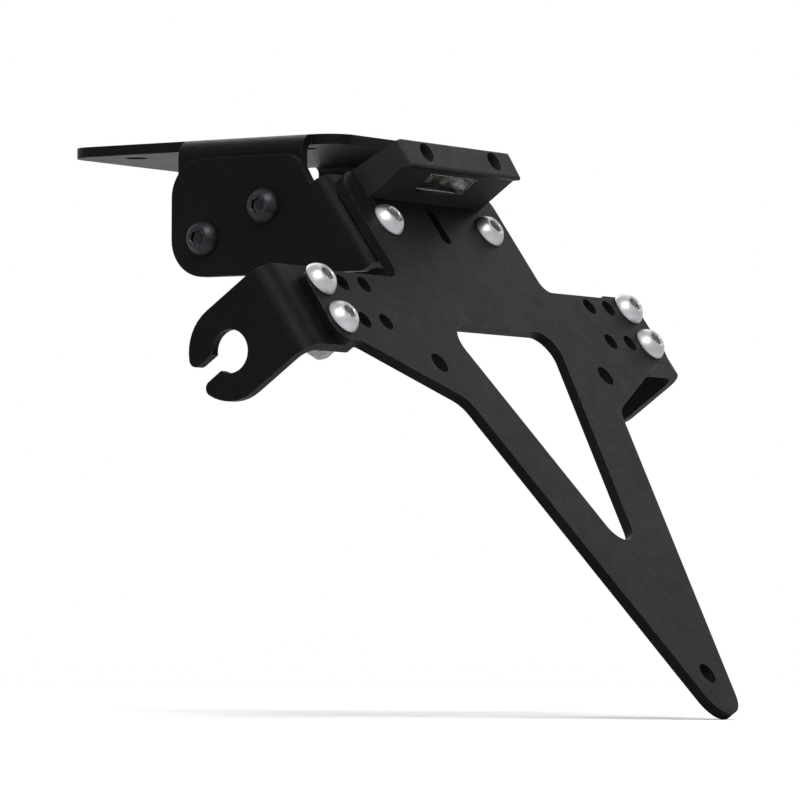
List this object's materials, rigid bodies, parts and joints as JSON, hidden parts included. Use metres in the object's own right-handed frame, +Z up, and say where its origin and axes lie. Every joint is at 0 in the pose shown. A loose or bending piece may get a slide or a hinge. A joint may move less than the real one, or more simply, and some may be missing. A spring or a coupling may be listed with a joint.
{
  "type": "tail tidy",
  "caption": "Folded black sheet steel number plate carrier for a motorbike tail, with a V-shaped foot, hooked indicator ears, a mounting bracket and a plate lamp.",
  "frame": {"origin": "the middle of the tail screw pattern, on the upper face of the mounting bracket", "axes": "+X to the rear of the motorbike, +Y to its right, +Z up"},
  "size_m": [0.2063, 0.199, 0.1656],
  "materials": {
    "powder_coat": "matt fine-textured black powder coat on steel sheet",
    "bright_steel": "bright stainless steel",
    "black_steel": "black oxide steel",
    "lamp_plastic": "moulded satin black plastic",
    "lamp_glass": "clear plastic lens",
    "seal_rubber": "black rubber",
    "circuit_board": "white lacquered circuit board",
    "led": "phosphor in clear resin"
  },
  "bodies": {
    "root": {"number_plate_carrier": "powder_coat", "upper_bracket": "powder_coat", "tail_mount_bracket": "powder_coat", "left_indicator_ear": "powder_coat", "right_indicator_ear": "powder_coat", "left_ear_screws": "bright_steel", "left_ear_washers": "bright_steel", "left_ear_nuts": "bright_steel", "right_ear_screws": "bright_steel", "right_ear_washers": "bright_steel", "right_ear_nuts": "bright_steel", "neck_screws": "bright_steel", "neck_washers": "bright_steel", "neck_nuts": "bright_steel", "cheek_screws": "black_steel", "cheek_washers": "black_steel", "cheek_nuts": "black_steel", "lamp_housing": "lamp_plastic", "lamp_lens": "lamp_glass", "lamp_seal": "seal_rubber", "lamp_board": "circuit_board", "lamp_leds": "led", "lamp_screws": "black_steel", "lamp_washers": "black_steel", "lamp_nuts": "black_steel", "lamp_grommet": "seal_rubber"}
  },
  "joints": []
}
